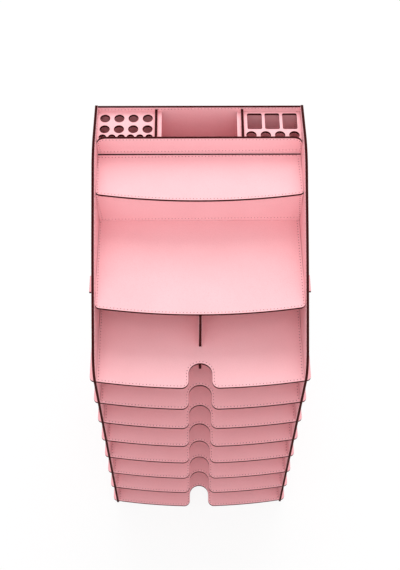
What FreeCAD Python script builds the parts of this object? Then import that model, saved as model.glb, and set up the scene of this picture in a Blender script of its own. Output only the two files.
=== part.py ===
import FreeCAD, Part
import math
import os

from FreeCAD import Vector

os.makedirs("parts", exist_ok=True)

# Desktop document tower of leather-clad boards, slotted and tabbed together.
# Lengths are millimetres. X runs to the right, Y to the back, Z up.
# The origin is on the ground, under the centre of the tower's outline.

# Boards
board = 3.2
outer_width = 250.6
panel_depth = 298.0

# Fits between boards
fixed_gap = 0.1
sliding_gap = 0.25

# Trays
tray_count = 8
tray_pitch = 58.5
ground_gap = 4.8
front_bulge = 9.6
tray_setback = 0.6
ear_reach = 4.7
ear_length = 72.0
ear_corner = 5.5
notch_half_width = 14.0
notch_depth = 32.4
notch_mouth_radius = 8.5
rear_tab_width = 40.0
rear_tab_spread = 130.0

# Note shelf and the closed step behind it
shelf_clearance = 56.3
shelf_setback = 65.5
shelf_corner = 6.0
shelf_usable_depth = 122.5
step_height = 56.0
side_tab_length = 22.3
side_tab_reach = 4.2
front_side_tab_setback = 86.6
rear_side_tab_setback = 232.0

# Top tray
top_tray_setback = 186.7
top_tray_corner = 5.0
flush_tab_length = 20.0
top_tray_tab_setback = 206.0
top_tray_rear_gap = 1.6
step_wall_tab_rise = 12.0

# Pen box
pen_box_setback = 246.4
pen_front_rise = 28.3
pen_front_corner = 11.0
pen_front_tab_rise = 14.0
divider_drop = 2.8
divider_spread = 103.4
divider_foot_length = 20.0
plate_drop = 7.8
plate_overhang = 4.9
brush_slot_width = 17.4
brush_slot_length = 24.5
brush_slot_pitch = 21.2
brush_slot_corner = 2.0
brush_slot_count = 3
brush_slot_setback = 267.5
pen_hole_diameter = 12.2
pen_hole_pitch = 17.1
pen_hole_count = 4
right_pen_hole_setback = 258.0
left_pen_hole_setbacks = (267.7, 284.5)
marker_hole_diameter = 9.0
marker_hole_pitch = 11.1
marker_hole_count = 6
marker_hole_setback = 255.2

# Centre divider
centre_divider_setback = 45.5
centre_tab_height = 25.0
centre_tab_rise = 22.0

# Side panel outline: the straight lower front turns into a long slope that ends in a low crown
slope_foot_height = 441.0
slope_foot_radius = 45.0
slope_middle_setback = 102.0
slope_middle_height = 507.0
slope_middle_radius = 1200.0
crown_setback = 222.0
crown_height = 571.3
crown_radius = 75.0
rear_top_height = 563.5
rear_top_radius = 3.0

# Back panel
back_panel_drop = 2.5
finger_height = 40.0
finger_pitch = 125.0
finger_count = 4
first_finger_height = 52.0

# Places that follow from the sizes above
half_width = outer_width / 2
inner_half = half_width - board
tray_half = half_width + ear_reach
front_y = (front_bulge - tray_setback - panel_depth) / 2
back_y = front_y + panel_depth
back_panel_y = back_y - board
tray_front_y = front_y + tray_setback
tray_tops = [ground_gap + board + tray_pitch * step for step in range(tray_count)]
tray_tops.reverse()
shelf_top = tray_tops[0] + shelf_clearance + board
top_tray_top = shelf_top + step_height
pen_front_top = top_tray_top + pen_front_rise
divider_top = pen_front_top - divider_drop
plate_top = pen_front_top - plate_drop
back_panel_top = rear_top_height - back_panel_drop
step_wall_y = front_y + shelf_setback + shelf_usable_depth
pen_front_y = front_y + pen_box_setback
pen_box_inner_y = pen_front_y + board
pen_box_middle_y = (pen_box_inner_y + back_panel_y) / 2
divider_x = divider_spread / 2
compartment_x = (divider_x + board / 2 + inner_half) / 2
centre_divider_y = front_y + centre_divider_setback
centre_lap_y = (centre_divider_y + back_panel_y) / 2


def rounded_wire(corners, place):
    """Closed wire through corners (a, b, radius), each corner rounded by its own arc."""
    runs = []
    count = len(corners)
    for index, (a, b, radius) in enumerate(corners):
        here = Vector(a, b, 0)
        before = Vector(*corners[index - 1][:2], 0) - here
        after = Vector(*corners[(index + 1) % count][:2], 0) - here
        before.normalize()
        after.normalize()
        if radius == 0:
            runs.append((here, here, here))
            continue
        half_turn = before.getAngle(after) / 2
        reach = radius / math.tan(half_turn)
        bisector = (before + after).normalize()
        apex = here + bisector * (radius / math.sin(half_turn) - radius)
        runs.append((here + before * reach, apex, here + after * reach))
    edges = []
    for index, (start, apex, end) in enumerate(runs):
        if start != end:
            arc = Part.Arc(place(*start[:2]), place(*apex[:2]), place(*end[:2]))
            edges.append(arc.toShape())
        following = runs[(index + 1) % count][0]
        if end.distanceToPoint(following) > 1e-6:
            edges.append(Part.makeLine(place(*end[:2]), place(*following[:2])))
    return Part.Wire(edges)


def flat_board(corners, top):
    """Level board of one thickness, seen from above, with its upper face at top."""
    wire = rounded_wire(corners, lambda x, y: Vector(x, y, top - board))
    return Part.Face(wire).extrude(Vector(0, 0, board))


def side_board(corners, x):
    """Upright board that runs front to back, centred on x. Corners are (y, z, radius)."""
    wire = rounded_wire(corners, lambda y, z: Vector(x - board / 2, y, z))
    return Part.Face(wire).extrude(Vector(board, 0, 0))


def cross_board(corners, y):
    """Upright board that runs left to right, with its front face at y. Corners are (x, z, radius)."""
    wire = rounded_wire(corners, lambda x, z: Vector(x, y, z))
    return Part.Face(wire).extrude(Vector(0, board, 0))


def block(low, high):
    """Box between two opposite corners."""
    size = Vector(*high) - Vector(*low)
    return Part.makeBox(size.x, size.y, size.z, Vector(*low))


def rectangle(a_low, a_high, b_low, b_high, radius=0):
    """Corners of a rectangle, all with one radius."""
    return [(a_low, b_low, radius), (a_high, b_low, radius),
            (a_high, b_high, radius), (a_low, b_high, radius)]


def round_uprights(solid, places, radius):
    """Round the vertical edges that stand at the given (x, y) places."""
    chosen = []
    for edge in solid.Edges:
        first, last = edge.Vertexes[0].Point, edge.Vertexes[-1].Point
        if abs(first.x - last.x) > 1e-4 or abs(first.y - last.y) > 1e-4:
            continue
        for x, y in places:
            if math.hypot(first.x - x, first.y - y) < radius / 2:
                chosen.append(edge)
    return solid.makeFillet(radius, chosen)


def front_curve(centre_y, half_span):
    """Upright cylinder whose front is the bowed front edge: front_bulge proud at X = 0."""
    radius = (half_span ** 2 + front_bulge ** 2) / (2 * front_bulge)
    axis = Vector(0, centre_y - front_bulge + radius, 0)
    return radius, Part.makeCylinder(radius, rear_top_height * 2, axis)


def bowed(solid, corner_y, half_span):
    """Trim a level board's front to the bowed front edge."""
    return solid.common(front_curve(corner_y, half_span)[1])


def front_corner(corner_y, half_span, x):
    """Place where the bowed front edge meets the line at x."""
    radius = front_curve(corner_y, half_span)[0]
    return x, corner_y - front_bulge + radius - math.sqrt(radius ** 2 - x ** 2)


def thumb_notch(top):
    """Round-ended cut in the middle of a tray's front edge."""
    rear = tray_front_y - front_bulge + notch_depth
    straight = block((-notch_half_width, tray_front_y - front_bulge - board, top - 2 * board),
                     (notch_half_width, rear - notch_half_width, top + board))
    end_centre = Vector(0, rear - notch_half_width, top - 2 * board)
    return straight.fuse(Part.makeCylinder(notch_half_width, 3 * board, end_centre))


def rear_tab_places():
    """Left and right centres of the tabs on a board's rear edge."""
    return (-rear_tab_spread / 2, rear_tab_spread / 2)


def tray(number):
    """One slot-in tray: ears for the side panels, thumb notch, tabs for the back panel."""
    top = tray_tops[number - 1]
    rear = back_panel_y - sliding_gap
    body_half = inner_half - sliding_gap
    lowest = tray_front_y - front_bulge
    ear_end = front_y + ear_length - sliding_gap
    corners = [(-tray_half, lowest, 0), (tray_half, lowest, 0), (tray_half, ear_end, 0),
               (body_half, ear_end, 0), (body_half, rear, 0), (-body_half, rear, 0),
               (-body_half, ear_end, 0), (-tray_half, ear_end, 0)]
    shape = bowed(flat_board(corners, top), tray_front_y, half_width)
    ear_places = [front_corner(tray_front_y, half_width, side * tray_half) for side in (-1, 1)]
    shape = round_uprights(shape, ear_places, ear_corner)
    shape = shape.cut(thumb_notch(top))
    mouth_places = [front_corner(tray_front_y, half_width, side * notch_half_width) for side in (-1, 1)]
    shape = round_uprights(shape, mouth_places, notch_mouth_radius)
    for x in rear_tab_places():
        half_tab = rear_tab_width / 2
        shape = shape.fuse(block((x - half_tab, rear, top - board), (x + half_tab, back_y, top)))
    if number == 1:
        half_slot = board / 2 + sliding_gap
        shape = shape.cut(block((-half_slot, centre_lap_y - sliding_gap, top - 2 * board),
                                (half_slot, back_y + board, top + board)))
    return shape.removeSplitter()


def side_panel(x):
    """Side panel with front-open slots for the trays and through slots for the fixed boards."""
    corners = [(front_y, 0, 0),
               (front_y, slope_foot_height, slope_foot_radius),
               (front_y + slope_middle_setback, slope_middle_height, slope_middle_radius),
               (front_y + crown_setback, crown_height, crown_radius),
               (back_y, rear_top_height, rear_top_radius),
               (back_y, 0, 0)]
    shape = side_board(corners, x)
    left, right = x - board, x + board

    def through(y_low, y_high, z_low, z_high):
        return block((left, y_low, z_low), (right, y_high, z_high))

    cuts = []
    for top in tray_tops:
        cuts.append(through(front_y - front_bulge, front_y + ear_length,
                            top - board - sliding_gap, top + sliding_gap))
    for setback in (front_side_tab_setback, rear_side_tab_setback):
        start = front_y + setback - fixed_gap
        cuts.append(through(start, start + side_tab_length + 2 * fixed_gap,
                            shelf_top - board - fixed_gap, shelf_top + fixed_gap))
    start = front_y + top_tray_tab_setback - fixed_gap
    cuts.append(through(start, start + flush_tab_length + 2 * fixed_gap,
                        top_tray_top - board - fixed_gap, top_tray_top + fixed_gap))
    start = pen_box_middle_y - flush_tab_length / 2 - fixed_gap
    cuts.append(through(start, start + flush_tab_length + 2 * fixed_gap,
                        plate_top - board - fixed_gap, plate_top + fixed_gap))
    for y, rise in ((step_wall_y, step_wall_tab_rise), (pen_front_y, pen_front_tab_rise)):
        start = shelf_top + rise - fixed_gap
        cuts.append(through(y - fixed_gap, y + board + fixed_gap,
                            start, start + flush_tab_length + 2 * fixed_gap))
    for step in range(finger_count):
        start = first_finger_height + step * finger_pitch - fixed_gap
        cuts.append(through(back_panel_y - fixed_gap, back_y + board,
                            start, start + finger_height + 2 * fixed_gap))
    return shape.cut(Part.makeCompound(cuts))


def back_panel():
    """Back panel between the side panels, with fingers at its sides and slots for rear tabs."""
    half = inner_half - fixed_gap
    shape = cross_board(rectangle(-half, half, 0, back_panel_top), back_panel_y)
    for step in range(finger_count):
        low = first_finger_height + step * finger_pitch
        shape = shape.fuse(block((-half_width, back_panel_y, low),
                                 (half_width, back_y, low + finger_height)))
    cuts = []
    for top, gap in [(top, sliding_gap) for top in tray_tops] + [(shelf_top, fixed_gap)]:
        for x in rear_tab_places():
            half_slot = rear_tab_width / 2 + gap
            cuts.append(block((x - half_slot, back_panel_y - board, top - board - gap),
                              (x + half_slot, back_y + board, top + gap)))
    for low in centre_tab_heights():
        half_slot = board / 2 + fixed_gap
        cuts.append(block((-half_slot, back_panel_y - board, low - fixed_gap),
                          (half_slot, back_y + board, low + centre_tab_height + fixed_gap)))
    return shape.cut(Part.makeCompound(cuts)).removeSplitter()


def note_shelf():
    """Level board that is the note shelf in front and the floor of the pen box behind."""
    half = inner_half - fixed_gap
    corner_y = front_y + shelf_setback
    rear = back_panel_y - fixed_gap
    shape = flat_board(rectangle(-half, half, corner_y - front_bulge, rear), shelf_top)
    shape = bowed(shape, corner_y, half)
    corner_places = [front_corner(corner_y, half, side * half) for side in (-1, 1)]
    shape = round_uprights(shape, corner_places, shelf_corner)
    tab_half = half_width + side_tab_reach
    for setback in (front_side_tab_setback, rear_side_tab_setback):
        low = front_y + setback
        shape = shape.fuse(block((-tab_half, low, shelf_top - board),
                                 (tab_half, low + side_tab_length, shelf_top)))
    for x in rear_tab_places():
        half_tab = rear_tab_width / 2
        shape = shape.fuse(block((x - half_tab, rear, shelf_top - board),
                                 (x + half_tab, back_y, shelf_top)))
    for x in (-divider_x, divider_x):
        half_slot = board / 2 + fixed_gap
        start = pen_box_middle_y - divider_foot_length / 2 - fixed_gap
        shape = shape.cut(block((x - half_slot, start, shelf_top - 2 * board),
                                (x + half_slot, start + divider_foot_length + 2 * fixed_gap,
                                 shelf_top + board)))
    return shape.removeSplitter()


def top_tray():
    """Small tray on top of the closed step, in front of the pen box."""
    half = inner_half - fixed_gap
    corner_y = front_y + top_tray_setback
    rear = pen_front_y - top_tray_rear_gap
    shape = flat_board(rectangle(-half, half, corner_y - front_bulge, rear), top_tray_top)
    shape = bowed(shape, corner_y, half)
    corner_places = [front_corner(corner_y, half, side * half) for side in (-1, 1)]
    shape = round_uprights(shape, corner_places, top_tray_corner)
    low = front_y + top_tray_tab_setback
    tabs = block((-half_width, low, top_tray_top - board),
                 (half_width, low + flush_tab_length, top_tray_top))
    return shape.fuse(tabs).removeSplitter()


def tabbed_cross_board(y, top, tab_rise, corner):
    """Upright cross board that stands on the note shelf, with one flush tab at each side."""
    half = inner_half - fixed_gap
    corners = [(-half, shelf_top, 0), (half, shelf_top, 0), (half, top, corner), (-half, top, corner)]
    shape = cross_board(corners, y)
    low = shelf_top + tab_rise
    tabs = block((-half_width, y, low), (half_width, y + board, low + flush_tab_length))
    return shape.fuse(tabs).removeSplitter()


def pen_box_divider(x):
    """Upright divider of the pen box: foot tab in the shelf, rear half slotted for the pen plate."""
    corners = rectangle(pen_box_inner_y, back_panel_y, shelf_top, divider_top)
    shape = side_board(corners, x)
    half = board / 2
    foot_y = pen_box_middle_y - divider_foot_length / 2
    shape = shape.fuse(block((x - half, foot_y, shelf_top - board),
                             (x + half, foot_y + divider_foot_length, shelf_top)))
    lap = block((x - board, pen_box_middle_y, plate_top - board - fixed_gap),
                (x + board, back_panel_y + board, plate_top + fixed_gap))
    return shape.cut(lap).removeSplitter()


def round_holes(centre_x, y, count, pitch, diameter):
    """Row of upright cutters for round holes in a pen plate."""
    first = centre_x - pitch * (count - 1) / 2
    bottom = plate_top - 2 * board
    return [Part.makeCylinder(diameter / 2, 3 * board, Vector(first + pitch * step, y, bottom))
            for step in range(count)]


def brush_slots(centre_x):
    """Row of upright cutters for the rounded slots at the back of the right pen plate."""
    first = centre_x - brush_slot_pitch * (brush_slot_count - 1) / 2
    low = front_y + brush_slot_setback
    cutters = []
    for step in range(brush_slot_count):
        x = first + brush_slot_pitch * step
        outline = rectangle(x - brush_slot_width / 2, x + brush_slot_width / 2,
                            low, low + brush_slot_length, brush_slot_corner)
        wire = rounded_wire(outline, lambda a, b: Vector(a, b, plate_top - 2 * board))
        cutters.append(Part.Face(wire).extrude(Vector(0, 0, 3 * board)))
    return cutters


def pen_plate(side):
    """Perforated plate over a side compartment. side is -1 for the left one and 1 for the right."""
    inner_end = divider_x - board / 2 - plate_overhang
    outer_end = inner_half - fixed_gap
    low_x, high_x = sorted((side * inner_end, side * outer_end))
    front = pen_box_inner_y + fixed_gap
    rear = back_panel_y - fixed_gap
    shape = flat_board(rectangle(low_x, high_x, front, rear), plate_top)
    tab_y = pen_box_middle_y - flush_tab_length / 2
    low_x, high_x = sorted((side * (outer_end - board), side * half_width))
    shape = shape.fuse(block((low_x, tab_y, plate_top - board),
                             (high_x, tab_y + flush_tab_length, plate_top)))
    half_lap = board / 2 + fixed_gap
    cuts = [block((side * divider_x - half_lap, front - board, plate_top - 2 * board),
                  (side * divider_x + half_lap, pen_box_middle_y, plate_top + board))]
    centre_x = side * compartment_x
    if side > 0:
        cuts += brush_slots(centre_x)
        cuts += round_holes(centre_x, front_y + right_pen_hole_setback,
                            pen_hole_count, pen_hole_pitch, pen_hole_diameter)
    else:
        for setback in left_pen_hole_setbacks:
            cuts += round_holes(centre_x, front_y + setback,
                                pen_hole_count, pen_hole_pitch, pen_hole_diameter)
        cuts += round_holes(centre_x, front_y + marker_hole_setback,
                            marker_hole_count, marker_hole_pitch, marker_hole_diameter)
    return shape.cut(Part.makeCompound(cuts)).removeSplitter()


def centre_tab_heights():
    """Lower ends of the two tabs that hold the centre divider in the back panel."""
    return (tray_tops[1] + centre_tab_rise, shelf_top - board - centre_tab_rise - centre_tab_height)


def centre_divider():
    """Upright board between the note shelf and the second tray, halved over the first tray."""
    corners = rectangle(centre_divider_y, back_panel_y, tray_tops[1] + sliding_gap, shelf_top - board)
    shape = side_board(corners, 0)
    lap = block((-board, centre_divider_y - board, tray_tops[0] - board - sliding_gap),
                (board, centre_lap_y, tray_tops[0] + sliding_gap))
    shape = shape.cut(lap)
    for low in centre_tab_heights():
        shape = shape.fuse(block((-board / 2, back_panel_y, low),
                                 (board / 2, back_y, low + centre_tab_height)))
    return shape.removeSplitter()


pieces = {
    "side_panel_left": side_panel(-half_width + board / 2),
    "side_panel_right": side_panel(half_width - board / 2),
    "back_panel": back_panel(),
    "note_shelf": note_shelf(),
    "step_wall": tabbed_cross_board(step_wall_y, top_tray_top - board, step_wall_tab_rise, 0),
    "top_tray": top_tray(),
    "pen_box_front": tabbed_cross_board(pen_front_y, pen_front_top, pen_front_tab_rise,
                                        pen_front_corner),
    "pen_box_divider_left": pen_box_divider(-divider_x),
    "pen_box_divider_right": pen_box_divider(divider_x),
    "pen_plate_left": pen_plate(-1),
    "pen_plate_right": pen_plate(1),
    "centre_divider": centre_divider(),
}
for tray_number in range(1, tray_count + 1):
    pieces["tray_%d" % tray_number] = tray(tray_number)

for node, shape in pieces.items():
    shape.exportStep("parts/%s.step" % node)
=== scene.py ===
import math

import bmesh
import bpy
from mathutils import Matrix, Vector


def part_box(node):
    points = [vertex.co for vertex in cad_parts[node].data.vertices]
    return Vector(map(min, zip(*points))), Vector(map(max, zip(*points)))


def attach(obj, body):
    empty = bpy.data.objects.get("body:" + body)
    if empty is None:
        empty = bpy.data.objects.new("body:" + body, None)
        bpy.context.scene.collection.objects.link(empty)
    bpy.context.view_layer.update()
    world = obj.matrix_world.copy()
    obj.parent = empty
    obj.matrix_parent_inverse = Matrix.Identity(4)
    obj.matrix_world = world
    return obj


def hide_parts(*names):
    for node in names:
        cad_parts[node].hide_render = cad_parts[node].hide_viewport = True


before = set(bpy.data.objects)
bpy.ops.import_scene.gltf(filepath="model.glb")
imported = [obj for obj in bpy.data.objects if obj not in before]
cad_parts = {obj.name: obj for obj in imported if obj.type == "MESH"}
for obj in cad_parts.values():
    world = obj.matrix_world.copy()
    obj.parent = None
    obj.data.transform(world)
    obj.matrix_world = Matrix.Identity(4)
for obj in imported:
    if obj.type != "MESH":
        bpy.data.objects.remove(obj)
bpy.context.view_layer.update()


# Side panels
# The two tall sides are cut by laser from hardboard that carries pink leather on both faces,
# so every edge shows the scorched core. A row of stitches runs just inside the outline.

mm = 0.001


def principled(name, specular, roughness=None):
    """New material with its shader's plain numbers set, and its node tree to build on."""
    material = bpy.data.materials.new(name)
    material.use_nodes = True
    shader = material.node_tree.nodes["Principled BSDF"]
    shader.inputs["Specular IOR Level"].default_value = specular
    if roughness is not None:
        shader.inputs["Roughness"].default_value = roughness
    return material, material.node_tree, shader


def add(tree, kind, links=(), **settings):
    """New node: settings are its own properties, links are (input, value or source socket)."""
    node = tree.nodes.new(kind)
    for name, value in settings.items():
        setattr(node, name, value)
    for socket, value in links:
        if isinstance(value, bpy.types.NodeSocket):
            tree.links.new(value, node.inputs[socket])
        else:
            node.inputs[socket].default_value = value
    return node


def mixed(tree, factor, first, second):
    """Colour that runs from first to second with factor."""
    node = add(tree, "ShaderNodeMix", data_type="RGBA")
    tree.links.new(factor, node.inputs["Factor"])
    for socket, value in ((node.inputs[6], first), (node.inputs[7], second)):
        if isinstance(value, bpy.types.NodeSocket):
            tree.links.new(value, socket)
        else:
            socket.default_value = (*value, 1)
    return node.outputs[2]


def spread(tree, value, low, high, to_low=0.0, to_high=1.0):
    """Value stretched so that low..high becomes to_low..to_high."""
    node = add(tree, "ShaderNodeMapRange", [("Value", value), ("From Min", low), ("From Max", high),
                                            ("To Min", to_low), ("To Max", to_high)])
    return node.outputs["Result"]


def leather():
    """Pale pink leather with a fine pebbled grain, toasted brown where the laser passed, and painted
    shade in the same brown where a band marks a gap between boards.
    """
    pink = (0.88, 0.468, 0.5)
    pink_pale = (0.905, 0.497, 0.53)
    pink_crease = (0.78, 0.365, 0.395)
    toasted_and_gap_shade = (0.05, 0.008, 0.008)
    crease_share = 0.3
    pebbles, pores, clouds, waves = 1150.0, 3600.0, 14.0, 420.0
    wave_reach, grain_depth, pore_share = 0.7 * mm, 0.12 * mm, 0.35
    smooth_polish, crease_polish = 0.46, 0.62
    material, tree, shader = principled("pink_leather", specular=0.35)
    place = add(tree, "ShaderNodeTexCoord").outputs["Object"]
    wave = add(tree, "ShaderNodeTexNoise", [("Vector", place), ("Scale", waves), ("Detail", 2.0)])
    bent = add(tree, "ShaderNodeMixRGB", [("Fac", wave_reach), ("Color1", place),
                                          ("Color2", wave.outputs["Color"])], blend_type="ADD")
    pebble = add(tree, "ShaderNodeTexVoronoi", [("Vector", bent.outputs["Color"]), ("Scale", pebbles)],
                 feature="SMOOTH_F1")
    pore = add(tree, "ShaderNodeTexNoise", [("Vector", place), ("Scale", pores), ("Detail", 3.0)])
    cloud = add(tree, "ShaderNodeTexNoise", [("Vector", place), ("Scale", clouds), ("Detail", 3.0)])
    crease = spread(tree, pebble.outputs["Distance"], 0.35, 0.75)
    face = mixed(tree, spread(tree, cloud.outputs["Fac"], 0.35, 0.65), pink, pink_pale)
    grained = mixed(tree, spread(tree, crease, 0, 1, 0, crease_share), face, pink_crease)
    # This attribute holds real laser scorch on the board rims and painted shade in the gap band.
    scorch_and_gap_shade = add(tree, "ShaderNodeAttribute", attribute_name="scorch_and_gap_shade").outputs["Fac"]
    tree.links.new(mixed(tree, scorch_and_gap_shade, grained, toasted_and_gap_shade), shader.inputs["Base Color"])
    tree.links.new(spread(tree, crease, 0, 1, smooth_polish, crease_polish), shader.inputs["Roughness"])
    pitting = spread(tree, pore.outputs["Fac"], 0, 1, 0, pore_share)
    height = add(tree, "ShaderNodeMath", [(0, crease), (1, pitting)])
    bump = add(tree, "ShaderNodeBump", [("Height", height.outputs[0]), ("Strength", 0.5),
                                        ("Distance", grain_depth)], invert=True)
    tree.links.new(bump.outputs["Normal"], shader.inputs["Normal"])
    return material


def burnt_edge():
    """Laser-cut hardboard: near-black brown with fine streaks across the thickness."""
    char, brown = (0.026, 0.003, 0.003), (0.06, 0.008, 0.008)
    streaks_along, streaks_across, streak_depth = 2600.0, 260.0, 0.06 * mm
    smooth_char, rough_char = 0.62, 0.85
    material, tree, shader = principled("burnt_edge", specular=0.04)
    along = add(tree, "ShaderNodeUVMap", uv_map="edge").outputs["UV"]
    stretch = add(tree, "ShaderNodeMapping", [("Vector", along),
                                              ("Scale", (streaks_along, streaks_across, 1.0))])
    streak = add(tree, "ShaderNodeTexNoise", [("Vector", stretch.outputs["Vector"]), ("Scale", 1.0),
                                              ("Detail", 3.0)])
    share = spread(tree, streak.outputs["Fac"], 0.35, 0.7)
    tree.links.new(mixed(tree, share, char, brown), shader.inputs["Base Color"])
    tree.links.new(spread(tree, share, 0, 1, smooth_char, rough_char), shader.inputs["Roughness"])
    bump = add(tree, "ShaderNodeBump", [("Height", share), ("Strength", 0.4), ("Distance", streak_depth)])
    tree.links.new(bump.outputs["Normal"], shader.inputs["Normal"])
    return material


leather_skin, scorched_core = leather(), burnt_edge()
skin = 0.15 * mm
skin_round = 0.24 * mm
rim_steps = 3
scorch_spread = 0.35
core_recess = 0.05 * mm
core_margin = 0.02 * mm
weld = 0.002 * mm
cut_tolerance = 1e-7
flat_turn, sharp_turn = math.radians(0.5), math.radians(35)


def clad_board(node):
    """Board of the frame with rounded leather skins on both faces and a scorched core between them."""
    low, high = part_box(node)
    size = high - low
    thin = min(range(3), key=lambda axis: size[axis])
    middle, half = (low[thin] + high[thin]) / 2, size[thin] / 2
    work = bmesh.new()
    work.from_mesh(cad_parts[node].data)
    bmesh.ops.remove_doubles(work, verts=work.verts, dist=weld)
    bmesh.ops.dissolve_limit(work, angle_limit=flat_turn, verts=work.verts, edges=work.edges)

    def is_cap(face):
        return abs(face.normal[thin]) > 0.9

    rim = [edge for edge in work.edges
           if len(edge.link_faces) == 2 and is_cap(edge.link_faces[0]) != is_cap(edge.link_faces[1])]
    bmesh.ops.bevel(work, geom=rim, offset=skin_round, segments=rim_steps, profile=0.5,
                    affect="EDGES", clamp_overlap=True, offset_type="OFFSET")
    normal = Vector([float(axis == thin) for axis in range(3)])
    for side in (-1, 1):
        parts = work.verts[:] + work.edges[:] + work.faces[:]
        bmesh.ops.bisect_plane(work, geom=parts, dist=cut_tolerance, plane_no=normal,
                               plane_co=normal * (middle + side * (half - skin)))
    core = [face for face in work.faces if abs(face.normal[thin]) < 0.5
            and abs(face.calc_center_median()[thin] - middle) < half - skin]
    lip = bmesh.ops.inset_region(work, faces=core, thickness=core_margin, depth=-core_recess,
                                 use_even_offset=True, use_boundary=True)["faces"]
    dark = set(core) | set(lip)
    scorch_and_gap_shade = work.verts.layers.float.new("scorch_and_gap_shade")
    edge_map = work.loops.layers.uv.new("edge")
    for vertex in work.verts:
        depth = half - abs(vertex.co[thin] - middle)
        vertex[scorch_and_gap_shade] = min(1.0, depth / skin_round) ** scorch_spread
    for face in work.faces:
        face.material_index = int(face in dark)
        face.smooth = not is_cap(face) or face in dark
        tangent = normal.cross(face.normal).normalized()
        for loop in face.loops:
            loop[edge_map].uv = (loop.vert.co.dot(tangent), loop.vert.co[thin])
    for edge in work.edges:
        if len(edge.link_faces) == 2 and edge.calc_face_angle(0) > sharp_turn:
            edge.smooth = False
    mesh = bpy.data.meshes.new(node + "_clad")
    work.to_mesh(mesh)
    work.free()
    mesh.materials.append(leather_skin)
    mesh.materials.append(scorched_core)
    board = bpy.data.objects.new(node + "_clad", mesh)
    bpy.context.scene.collection.objects.link(board)
    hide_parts(node)
    return board


def thread():
    """Satin pink sewing thread, in the leather's own shades."""
    deep, pale = (0.84, 0.42, 0.46), (0.96, 0.60, 0.64)
    fibres, fibre_depth = 2200.0, 0.05 * mm
    material, tree, shader = principled("pink_thread", specular=0.4, roughness=0.45)
    place = add(tree, "ShaderNodeTexCoord").outputs["Object"]
    fibre = add(tree, "ShaderNodeTexNoise", [("Vector", place), ("Scale", fibres), ("Detail", 2.0)])
    share = spread(tree, fibre.outputs["Fac"], 0.35, 0.65)
    tree.links.new(mixed(tree, share, deep, pale), shader.inputs["Base Color"])
    bump = add(tree, "ShaderNodeBump", [("Height", share), ("Strength", 0.3), ("Distance", fibre_depth)])
    tree.links.new(bump.outputs["Normal"], shader.inputs["Normal"])
    return material


def needle_hole_shade():
    """Painted shade standing for the dark inside of a needle hole, mottled in two tones."""
    deep, shallow, flecks = (0.14, 0.038, 0.042), (0.24, 0.075, 0.082), 1500.0
    material, tree, shader = principled("needle_hole_shade", specular=0.2, roughness=0.8)
    place = add(tree, "ShaderNodeTexCoord").outputs["Object"]
    fleck = add(tree, "ShaderNodeTexNoise", [("Vector", place), ("Scale", flecks)])
    tree.links.new(mixed(tree, fleck.outputs["Fac"], deep, shallow), shader.inputs["Base Color"])
    return material


strand_steps, strand_sides = 6, 7
hole_sides, hole_rings, hole_flatness = 8, 4, 0.12
end_sink = 0.9
ray_reach = 1.5


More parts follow.
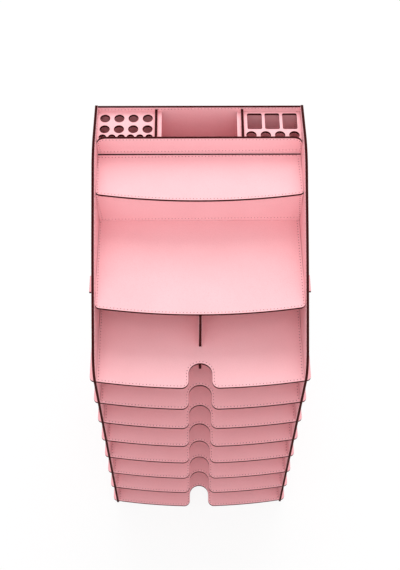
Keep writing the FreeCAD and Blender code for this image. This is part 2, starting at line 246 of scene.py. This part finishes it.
def stitch_tree():
    """Node tree that sews along a path on both faces of a board and skips the board's slots."""
    tree = bpy.data.node_groups.new("sewn_row", "GeometryNodeTree")
    interface = tree.interface
    interface.new_socket("Geometry", in_out="OUTPUT", socket_type="NodeSocketGeometry")
    interface.new_socket("Path", in_out="INPUT", socket_type="NodeSocketGeometry")
    for name, kind in (("Board", "Object"), ("Face", "Vector"), ("Reach", "Float"), ("Pitch", "Float"),
                       ("Length", "Float"), ("Thread", "Float"), ("Rise", "Float"), ("Hole", "Float"),
                       ("Wander", "Float"), ("Seed", "Int"), ("Thread Material", "Material"),
                       ("Hole Shade Material", "Material")):
        interface.new_socket(name, in_out="INPUT", socket_type="NodeSocket" + kind)
    given = add(tree, "NodeGroupInput").outputs

    def vector(operation, *values):
        links = [(index, value) for index, value in enumerate(values)]
        return add(tree, "ShaderNodeVectorMath", links, operation=operation).outputs[0]

    def scaled(value, factor):
        node = add(tree, "ShaderNodeVectorMath", [(0, value)], operation="SCALE")
        socket = node.inputs["Scale"]
        if isinstance(factor, bpy.types.NodeSocket):
            tree.links.new(factor, socket)
        else:
            socket.default_value = factor
        return node.outputs[0]

    def number(operation, *values):
        links = [(index, value) for index, value in enumerate(values)]
        return add(tree, "ShaderNodeMath", links, operation=operation).outputs[0]

    def point(x, y, z):
        return add(tree, "ShaderNodeCombineXYZ", [("X", x), ("Y", y), ("Z", z)]).outputs[0]

    half = number("MULTIPLY", given["Length"], 0.5)
    sink = number("MULTIPLY", given["Thread"], -end_sink)
    bow = add(tree, "GeometryNodeCurveQuadraticBezier",
              [("Resolution", strand_steps), ("Start", point(number("MULTIPLY", half, -1.0), 0.0, sink)),
               ("Middle", point(0.0, 0.0, given["Rise"])), ("End", point(half, 0.0, sink))])
    round_section = add(tree, "GeometryNodeCurvePrimitiveCircle",
                        [("Resolution", strand_sides), ("Radius", given["Thread"])], mode="RADIUS")
    strand = add(tree, "GeometryNodeCurveToMesh", [("Curve", bow.outputs["Curve"]),
                                                   ("Profile Curve", round_section.outputs["Curve"]),
                                                   ("Fill Caps", True)])
    hole = given["Hole"]
    ball = add(tree, "GeometryNodeMeshUVSphere", [("Segments", hole_sides), ("Rings", hole_rings),
                                                  ("Radius", 1.0)])
    dot = add(tree, "GeometryNodeTransform",
              [("Geometry", ball.outputs["Mesh"]),
               ("Scale", point(hole, hole, number("MULTIPLY", hole, hole_flatness)))])
    path = add(tree, "GeometryNodeMeshToCurve", [("Mesh", given["Path"])])
    row = add(tree, "GeometryNodeCurveToPoints", [("Curve", path.outputs["Curve"]),
                                                  ("Length", given["Pitch"])], mode="LENGTH")
    place, along = add(tree, "GeometryNodeInputPosition").outputs[0], row.outputs["Tangent"]
    board = add(tree, "GeometryNodeObjectInfo", [("Object", given["Board"])], transform_space="RELATIVE")
    sewn = add(tree, "GeometryNodeJoinGeometry")
    for shape, shift, reach, finish in ((strand.outputs[0], 0.0, half, given["Thread Material"]),
                                        (dot.outputs[0], number("MULTIPLY", given["Pitch"], 0.5), hole,
                                         given["Hole Shade Material"])):
        smooth = add(tree, "GeometryNodeSetShadeSmooth", [("Geometry", shape)])
        both_faces = add(tree, "GeometryNodeJoinGeometry")
        for side in (1.0, -1.0):
            outward = scaled(given["Face"], side)
            to_face = scaled(outward, given["Reach"])
            lift = vector("ADD", to_face, scaled(along, shift))
            above = vector("ADD", vector("ADD", place, lift), to_face)
            # A stitch or hole is kept only where the board lies under both of its ends.
            hits = []
            for end in (-1.0, 1.0):
                start = vector("ADD", above, scaled(along, number("MULTIPLY", reach, end)))
                ray = add(tree, "GeometryNodeRaycast",
                          [("Target Geometry", board.outputs["Geometry"]), ("Source Position", start),
                           ("Ray Direction", scaled(outward, -1.0)),
                           ("Ray Length", number("MULTIPLY", given["Reach"], ray_reach))])
                hits.append(ray.outputs["Is Hit"])
            found = add(tree, "FunctionNodeBooleanMath", [(0, hits[0]), (1, hits[1])], operation="AND")
            turn = add(tree, "FunctionNodeAlignRotationToVector", [("Vector", along)], axis="X")
            turn = add(tree, "FunctionNodeAlignRotationToVector",
                       [("Rotation", turn.outputs[0]), ("Vector", outward)], axis="Z", pivot_axis="X")
            wander = add(tree, "FunctionNodeRandomValue", [("Seed", given["Seed"])], data_type="FLOAT")
            tree.links.new(number("MULTIPLY", given["Wander"], -1.0), wander.inputs[2])
            tree.links.new(given["Wander"], wander.inputs[3])
            tilt = add(tree, "FunctionNodeAxisAngleToRotation", [("Axis", (0.0, 0.0, 1.0)),
                                                                 ("Angle", wander.outputs[1])])
            turn = add(tree, "FunctionNodeRotateRotation", [("Rotation", turn.outputs[0]),
                                                            ("Rotate By", tilt.outputs[0])],
                       rotation_space="LOCAL")
            placed = add(tree, "GeometryNodeInstanceOnPoints",
                         [("Points", row.outputs["Points"]), ("Instance", smooth.outputs[0]),
                          ("Selection", found.outputs[0]), ("Rotation", turn.outputs[0])])
            placed = add(tree, "GeometryNodeTranslateInstances", [("Instances", placed.outputs[0]),
                                                                  ("Translation", lift),
                                                                  ("Local Space", False)])
            tree.links.new(placed.outputs[0], both_faces.inputs[0])
        real = add(tree, "GeometryNodeRealizeInstances", [("Geometry", both_faces.outputs[0])])
        real = add(tree, "GeometryNodeSetMaterial", [("Geometry", real.outputs[0]), ("Material", finish)])
        tree.links.new(real.outputs[0], sewn.inputs[0])
    out = add(tree, "NodeGroupOutput")
    tree.links.new(sewn.outputs[0], out.inputs[0])
    return tree


# Needle holes are flat dark dots of painted shade, set between the stitches on both faces.
sewn_row, pink_thread, hole_shade = stitch_tree(), thread(), needle_hole_shade()
stitch_inset = 2.3 * mm
stitch_sizes = {"Pitch": 4.04 * mm, "Length": 2.9 * mm, "Thread": 0.42 * mm, "Rise": 0.35 * mm,
                "Hole": 0.55 * mm, "Wander": math.radians(3), "Seed": 3}


def inset(corners, distance):
    """Outline corners (a, b, radius), listed anticlockwise, moved inwards, with their radii to suit."""
    moved = []
    for index, (a, b, radius) in enumerate(corners):
        here = Vector((a, b))
        into = (here - Vector(corners[index - 1][:2])).normalized()
        out = (Vector(corners[(index + 1) % len(corners)][:2]) - here).normalized()
        left_in, left_out = Vector((-into.y, into.x)), Vector((-out.y, out.x))
        shift = (left_in + left_out) * (distance / (1 + left_in.dot(left_out)))
        turns_left = into.cross(out) > 0
        fitted = max(0.0, radius - distance) if turns_left else radius + distance if radius else 0.0
        moved.append((here.x + shift.x, here.y + shift.y, fitted))
    return moved


least_radius = 0.5 * mm
straight_turn, arc_step = math.radians(89.5), math.radians(6)


def rounded(corners):
    """Points of a closed outline, with each corner (a, b, radius) turned into an arc."""
    points = []
    for index, (a, b, radius) in enumerate(corners):
        here = Vector((a, b))
        before = (Vector(corners[index - 1][:2]) - here).normalized()
        after = (Vector(corners[(index + 1) % len(corners)][:2]) - here).normalized()
        half_turn = before.angle(after) / 2
        if radius < least_radius or half_turn > straight_turn:
            points.append(here)
            continue
        centre = here + (before + after).normalized() * (radius / math.sin(half_turn))
        start = here + before * (radius / math.tan(half_turn)) - centre
        sweep = math.pi - 2 * half_turn
        if before.cross(after) > 0:
            sweep = -sweep
        steps = max(3, round(abs(sweep) / arc_step))
        for step in range(steps + 1):
            turn = Matrix.Rotation(sweep * step / steps, 2)
            points.append(centre + turn @ start)
    return points


def sew(board, body, node, corners, place):
    """Stitches along an outline, inset from the board's edge. place turns (a, b) into a point."""
    low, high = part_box(node)
    size = high - low
    thin = min(range(3), key=lambda axis: size[axis])
    points = [place(*point) for point in rounded(inset(corners, stitch_inset))]
    edges = [(index, (index + 1) % len(points)) for index in range(len(points))]
    mesh = bpy.data.meshes.new(node + "_path")
    mesh.from_pydata(points, edges, [])
    path = bpy.data.objects.new(node + "_path", mesh)
    bpy.context.scene.collection.objects.link(path)
    modifier = path.modifiers.new("sewn", "NODES")
    modifier.node_group = sewn_row
    values = dict(stitch_sizes)
    values["Board"] = board
    values["Face"] = [float(axis == thin) for axis in range(3)]
    values["Reach"] = size[thin] / 2
    values["Thread Material"], values["Hole Shade Material"] = pink_thread, hole_shade
    for item in sewn_row.interface.items_tree:
        if item.in_out == "INPUT" and item.name in values:
            modifier[item.identifier] = values[item.name]
    bpy.context.view_layer.update()
    sewn = bpy.data.meshes.new_from_object(path.evaluated_get(bpy.context.evaluated_depsgraph_get()))
    path.modifiers.remove(modifier)
    stitches = bpy.data.objects.new(node + "_stitches", sewn)
    bpy.context.scene.collection.objects.link(stitches)
    bpy.data.objects.remove(path)
    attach(stitches, body)


front_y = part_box("side_panel_left")[0].y
back_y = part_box("side_panel_left")[1].y
outer_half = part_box("side_panel_right")[1].x
inner_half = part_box("side_panel_right")[0].x
rear_height, rear_radius = 563.5 * mm, 3 * mm
crown_setback, crown_height, crown_radius = 222 * mm, 571.3 * mm, 75 * mm
slope_setback, slope_height, slope_radius = 102 * mm, 507 * mm, 1200 * mm
shoulder_height, shoulder_radius = 441 * mm, 45 * mm
panel_outline = [(front_y, 0, 0), (back_y, 0, 0), (back_y, rear_height, rear_radius),
                 (front_y + crown_setback, crown_height, crown_radius),
                 (front_y + slope_setback, slope_height, slope_radius),
                 (front_y, shoulder_height, shoulder_radius)]
for node in ("side_panel_left", "side_panel_right"):
    panel = clad_board(node)
    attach(panel, "root")
    low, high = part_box(node)
    sew(panel, "root", node, panel_outline, lambda a, b: ((low.x + high.x) / 2, a, b))


# Back panel
# One board between the side panels, held by fingers at its sides. Slots take the rear tabs
# of the trays, of the note shelf and of the centre divider.

def rectangle(a_low, a_high, b_low, b_high):
    """Square corners of a rectangle, anticlockwise."""
    return [(a_low, b_low, 0), (a_high, b_low, 0), (a_high, b_high, 0), (a_low, b_high, 0)]


back_panel = clad_board("back_panel")
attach(back_panel, "root")
low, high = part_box("back_panel")
back_panel_y = low.y
sew(back_panel, "root", "back_panel", rectangle(-inner_half, inner_half, 0, high.z),
    lambda a, b: (a, (low.y + high.y) / 2, b))


# Trays
# Eight slot-in boards with a bowed front, a round-ended thumb notch, ears that stick out of the
# side panels' slots and tabs at the back. The stitches follow the part between the side panels.

bow = 9.6 * mm
tray_front = front_y + 0.6 * mm
tray_front_corner, tray_rear_corner = 5 * mm, 4 * mm
notch_half, notch_mouth = 14 * mm, 8.5 * mm
notch_end = tray_front + 22.8 * mm
notch_turn = 12


def bowed_front(corner_y, half_span, x_from, x_to, steps=12):
    """Corners along a front edge that is a shallow arc, bow proud of its ends."""
    radius = (half_span ** 2 + bow ** 2) / (2 * bow)
    centre_y = corner_y - bow + radius
    xs = [x_from + (x_to - x_from) * step / steps for step in range(steps + 1)]
    return [(x, centre_y - math.sqrt(radius ** 2 - x ** 2), 0.0) for x in xs]


def with_radius(corners, index, radius):
    """The same corners with one of them rounded."""
    corners = list(corners)
    corners[index] = (*corners[index][:2], radius)
    return corners


notch_round = []
for turn in range(180, -1, -notch_turn):
    angle = math.radians(turn)
    notch_round.append((notch_half * math.cos(angle),
                        notch_end - notch_half + notch_half * math.sin(angle), 0.0))
left_front = bowed_front(tray_front, outer_half, -inner_half, -notch_half)
left_front = with_radius(with_radius(left_front, 0, tray_front_corner), -1, notch_mouth)
right_front = bowed_front(tray_front, outer_half, notch_half, inner_half)
right_front = with_radius(with_radius(right_front, -1, tray_front_corner), 0, notch_mouth)
tray_outline = (left_front + notch_round + right_front
                + [(inner_half, back_panel_y, tray_rear_corner),
                   (-inner_half, back_panel_y, tray_rear_corner)])
for number in range(1, 9):
    node = "tray_%d" % number
    tray = clad_board(node)
    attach(tray, node)
    low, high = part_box(node)
    sew(tray, node, node, tray_outline, lambda a, b: (a, b, (low.z + high.z) / 2))


# Note shelf
# A bowed shelf that runs through to the back as the floor of the pen box. One tab at each side
# comes out through the side panel.

shelf_setback, shelf_corner, shelf_steps = 65.5 * mm, 6 * mm, 24
note_shelf = clad_board("note_shelf")
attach(note_shelf, "root")
shelf_low, shelf_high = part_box("note_shelf")
shelf_front = bowed_front(front_y + shelf_setback, inner_half, -inner_half, inner_half, shelf_steps)
shelf_front = with_radius(with_radius(shelf_front, 0, shelf_corner), -1, shelf_corner)
sew(note_shelf, "root", "note_shelf",
    shelf_front + [(inner_half, back_panel_y, 0), (-inner_half, back_panel_y, 0)],
    lambda a, b: (a, b, (shelf_low.z + shelf_high.z) / 2))


# Closed step with the top tray
# An upright wall of the same board stands on the note shelf, tabbed into the side panels, and
# carries a small bowed tray. The wall's lowest row of stitches keeps clear of the shelf.

step_wall = clad_board("step_wall")
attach(step_wall, "root")
low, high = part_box("step_wall")
wall_foot = shelf_high.z + 2.4 * mm
sew(step_wall, "root", "step_wall", rectangle(-inner_half, inner_half, wall_foot, high.z),
    lambda a, b: (a, (low.y + high.y) / 2, b))
top_setback, top_corner = 186.7 * mm, 5 * mm
top_tray = clad_board("top_tray")
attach(top_tray, "root")
low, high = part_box("top_tray")
top_front = bowed_front(front_y + top_setback, inner_half, -inner_half, inner_half, shelf_steps)
top_front = with_radius(with_radius(top_front, 0, top_corner), -1, top_corner)
sew(top_tray, "root", "top_tray", top_front + [(inner_half, high.y, 0), (-inner_half, high.y, 0)],
    lambda a, b: (a, b, (low.z + high.z) / 2))


# Pen box
# A front wall with rounded upper corners and two dividers stand on the note shelf. The wall
# carries a band of painted shade, in the toasted colour, inside the gap where the top tray's burnt
# rear edge faces it. The dividers carry no stitches.

gap_shade_fade, near = 0.4 * mm, 0.001 * mm


def paint_gap_shade_band(board, front, bottom, top):
    """Paint shade as a level band, in the toasted colour, on the front face of an upright cross board."""
    work = bmesh.new()
    work.from_mesh(board.data)
    for height in (bottom - gap_shade_fade, bottom, top, top + gap_shade_fade):
        bmesh.ops.bisect_plane(work, geom=work.verts[:] + work.edges[:] + work.faces[:],
                               dist=cut_tolerance, plane_co=(0, 0, height), plane_no=(0, 0, 1))
    scorch_and_gap_shade = work.verts.layers.float["scorch_and_gap_shade"]
    for vertex in work.verts:
        if abs(vertex.co.y - front) < near and bottom - near < vertex.co.z < top + near:
            vertex[scorch_and_gap_shade] = 1.0
    work.to_mesh(board.data)
    work.free()


pen_box_front = clad_board("pen_box_front")
low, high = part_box("pen_box_front")
tray_low, tray_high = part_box("top_tray")
# Painted shade: the wall's face inside the gap behind the top tray gets the toasted colour.
paint_gap_shade_band(pen_box_front, low.y, tray_low.z, tray_high.z)
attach(pen_box_front, "root")
sewn_foot, box_corner = tray_high.z + 3.2 * mm, 11 * mm
sew(pen_box_front, "root", "pen_box_front",
    [(-inner_half, sewn_foot, 0), (inner_half, sewn_foot, 0),
     (inner_half, high.z, box_corner), (-inner_half, high.z, box_corner)],
    lambda a, b: (a, (low.y + high.y) / 2, b))
for node in ("pen_box_divider_left", "pen_box_divider_right"):
    divider = clad_board(node)
    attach(divider, "root")


# Pen plates
# Two perforated boards halved over the dividers. The left one has three rows of round holes, and
# the right one has a row of round holes in front of three slots with rounded corners.

for node in ("pen_plate_left", "pen_plate_right"):
    plate = clad_board(node)
    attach(plate, "root")


# Centre divider
# An upright board that splits the two upper bays. It is halved over the first tray and
# tabbed into the back panel.

centre_divider = clad_board("centre_divider")
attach(centre_divider, "root")
low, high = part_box("centre_divider")
sew(centre_divider, "root", "centre_divider", rectangle(low.y, back_panel_y, low.z, high.z),
    lambda a, b: (0, a, b))


# Floor, light and camera
# A plain pale floor that keeps the tower's soft shadow, three softboxes in a white room, and the
# camera where the photograph was taken from.

def floor_finish():
    """Pale matt floor that looks white to the camera and still darkens under the tower."""
    dim, bright, white_share = (0.86, 0.86, 0.86), (0.88, 0.88, 0.88), 0.86
    material, tree, shader = principled("pale_floor", specular=0.1, roughness=0.9)
    place = add(tree, "ShaderNodeTexCoord").outputs["Object"]
    dust = add(tree, "ShaderNodeTexNoise", [("Vector", place), ("Scale", 3.0)])
    tree.links.new(mixed(tree, dust.outputs["Fac"], dim, bright), shader.inputs["Base Color"])
    rays = add(tree, "ShaderNodeLightPath").outputs
    seen = add(tree, "ShaderNodeMath", [(0, rays["Is Camera Ray"]), (1, rays["Is Glossy Ray"])],
               operation="MAXIMUM").outputs[0]
    seen = add(tree, "ShaderNodeMath", [(0, seen), (1, rays["Is Transmission Ray"])],
               operation="MAXIMUM").outputs[0]
    share = add(tree, "ShaderNodeMath", [(0, seen), (1, white_share)], operation="MULTIPLY").outputs[0]
    glow = add(tree, "ShaderNodeEmission", [("Color", (1.0, 1.0, 1.0, 1.0)), ("Strength", 1.0)])
    mix = add(tree, "ShaderNodeMixShader", [(0, share), (1, shader.outputs[0]), (2, glow.outputs[0])])
    tree.links.new(mix.outputs[0], tree.nodes["Material Output"].inputs["Surface"])
    return material


floor_half = 6.0
floor_mesh = bpy.data.meshes.new("floor")
floor_mesh.from_pydata([(-floor_half, -floor_half, 0), (floor_half, -floor_half, 0),
                        (floor_half, floor_half, 0), (-floor_half, floor_half, 0)], [], [(0, 1, 2, 3)])
floor_mesh.materials.append(floor_finish())
floor = bpy.data.objects.new("floor", floor_mesh)
bpy.context.scene.collection.objects.link(floor)

fill_strength = 0.85
world = bpy.data.worlds.new("studio")
bpy.context.scene.world = world
world.use_nodes = True
sky = world.node_tree
fill = sky.nodes["Background"]
fill.inputs["Color"].default_value = (1.0, 1.0, 1.0, 1.0)
fill.inputs["Strength"].default_value = fill_strength
white = add(sky, "ShaderNodeBackground", [("Color", (1.0, 1.0, 1.0, 1.0)), ("Strength", 1.0)])
seen = add(sky, "ShaderNodeMixShader", [(0, add(sky, "ShaderNodeLightPath").outputs["Is Camera Ray"]),
                                        (1, fill.outputs[0]), (2, white.outputs[0])])
sky.links.new(seen.outputs[0], sky.nodes["World Output"].inputs["Surface"])


def softbox(name, place, target, width, power):
    """Square area lamp at place, turned to target."""
    lamp = bpy.data.lights.new(name, "AREA")
    lamp.shape, lamp.size, lamp.energy = "SQUARE", width, power
    box = bpy.data.objects.new(name, lamp)
    box.location = place
    box.rotation_euler = (Vector(target) - Vector(place)).to_track_quat("-Z", "Y").to_euler()
    bpy.context.scene.collection.objects.link(box)


softbox("overhead", place=(0.1, 1.5, 2.35), target=(0, 0.1, 0.45), width=1.8, power=27.0)
softbox("high_front", place=(0.0, -1.2, 2.7), target=(0, 0, 0.4), width=1.6, power=10.0)
softbox("low_front", place=(-0.2, -2.4, 1.5), target=(0, 0, 0.25), width=1.8, power=13.0)

eye = Vector((-9.45, -656.54, 1460.53)) * mm
look_down, turn, roll = math.radians(58.292), math.radians(-0.8789), math.radians(0.5411)
camera_data = bpy.data.cameras.new("photograph")
camera_data.lens = 62.35
camera_data.sensor_width = 36.0
camera = bpy.data.objects.new("photograph", camera_data)
camera.matrix_world = (Matrix.Translation(eye) @ Matrix.Rotation(turn, 4, "Z")
                       @ Matrix.Rotation(math.pi / 2 - look_down, 4, "X") @ Matrix.Rotation(roll, 4, "Z"))
bpy.context.scene.collection.objects.link(camera)
bpy.context.scene.camera = camera
bpy.context.scene.view_settings.view_transform = "Standard"
